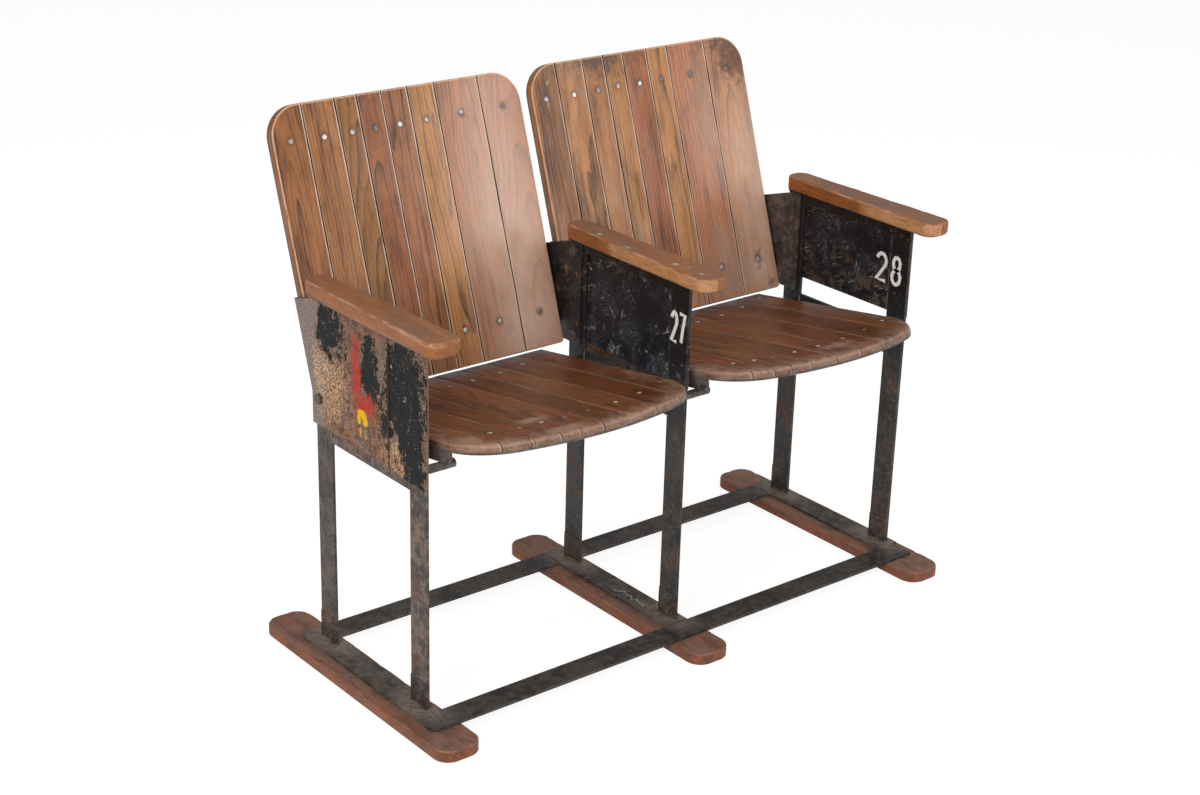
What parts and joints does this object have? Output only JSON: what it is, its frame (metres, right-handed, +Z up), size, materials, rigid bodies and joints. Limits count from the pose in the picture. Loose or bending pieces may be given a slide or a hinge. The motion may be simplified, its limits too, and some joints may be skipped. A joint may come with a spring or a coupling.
{
  "type": "tip up auditorium seat",
  "caption": "Row of tip up seats: bowed slatted wooden seats pivot up towards slatted backs, between flat steel side frames with wooden armrests and feet.",
  "frame": {"origin": "on the floor under the middle of the middle foot", "axes": "+Z up, +Y to the rear, +X to the sitter's left"},
  "size_m": [1.07, 0.5814, 0.864],
  "materials": {
    "backs": "worn varnished teak boards",
    "seats": "worn dark varnished boards",
    "armrests": "worn varnish, eased edges",
    "feet": "rough reddish brown hardwood",
    "frame_steel": "old dark paint, mottled with rust",
    "floor_steel": "worn charcoal steel",
    "end_panel": "rust brown with patches of black paint",
    "inner_panels": "glossy black paint, scratched and chipped",
    "brackets": "grey brown worn paint",
    "rims": "dull bare flat bar",
    "fasteners": "dull zinc with rust"
  },
  "bodies": {
    "frame": {"arm_rail_left": "frame_steel", "arm_rail_middle": "frame_steel", "arm_rail_right": "frame_steel", "armrest_left": "armrests", "armrest_middle": "armrests", "armrest_right": "armrests", "back_boards_left": "backs", "back_boards_right": "backs", "back_rim_left": "rims", "back_rim_right": "rims", "back_straps_left": "rims", "back_straps_right": "rims", "base_strip_left": "floor_steel", "base_strip_middle": "floor_steel", "base_strip_right": "floor_steel", "bracket_left_inner": "brackets", "bracket_left_outer": "brackets", "bracket_right_inner": "brackets", "bracket_right_outer": "brackets", "floor_bar_front": "floor_steel", "floor_bars_rear": "floor_steel", "foot_left": "feet", "foot_middle": "feet", "foot_right": "feet", "frame_bolts": "fasteners", "front_leg_left": "frame_steel", "front_leg_middle": "frame_steel", "front_leg_right": "frame_steel", "leg_cleats": "frame_steel", "lower_rail_left": "frame_steel", "lower_rail_middle": "frame_steel", "lower_rail_right": "frame_steel", "pivot_pins": "fasteners", "rear_leg_left": "frame_steel", "rear_leg_middle": "frame_steel", "rear_leg_right": "frame_steel", "side_sheet_left": "end_panel", "side_sheet_middle": "inner_panels", "side_sheet_right": "inner_panels", "stop_rods": "frame_steel"},
    "seat_left": {"seat_boards_left": "seats", "seat_rails_left": "rims", "seat_rim_left": "rims", "seat_straps_left": "rims"},
    "seat_right": {"seat_boards_right": "seats", "seat_rails_right": "rims", "seat_rim_right": "rims", "seat_straps_right": "rims"}
  },
  "joints": [
    {"name": "seat_tip_left", "type": "hinge", "parent": "frame", "child": "seat_left", "pos_m": [-0.243, 0.1325, 0.3979], "axis": [-1, 0, 0], "range_deg": [0, 62]},
    {"name": "seat_tip_right", "type": "hinge", "parent": "frame", "child": "seat_right", "pos_m": [0.254, 0.1325, 0.3979], "axis": [-1, 0, 0], "range_deg": [0, 62]}
  ]
}
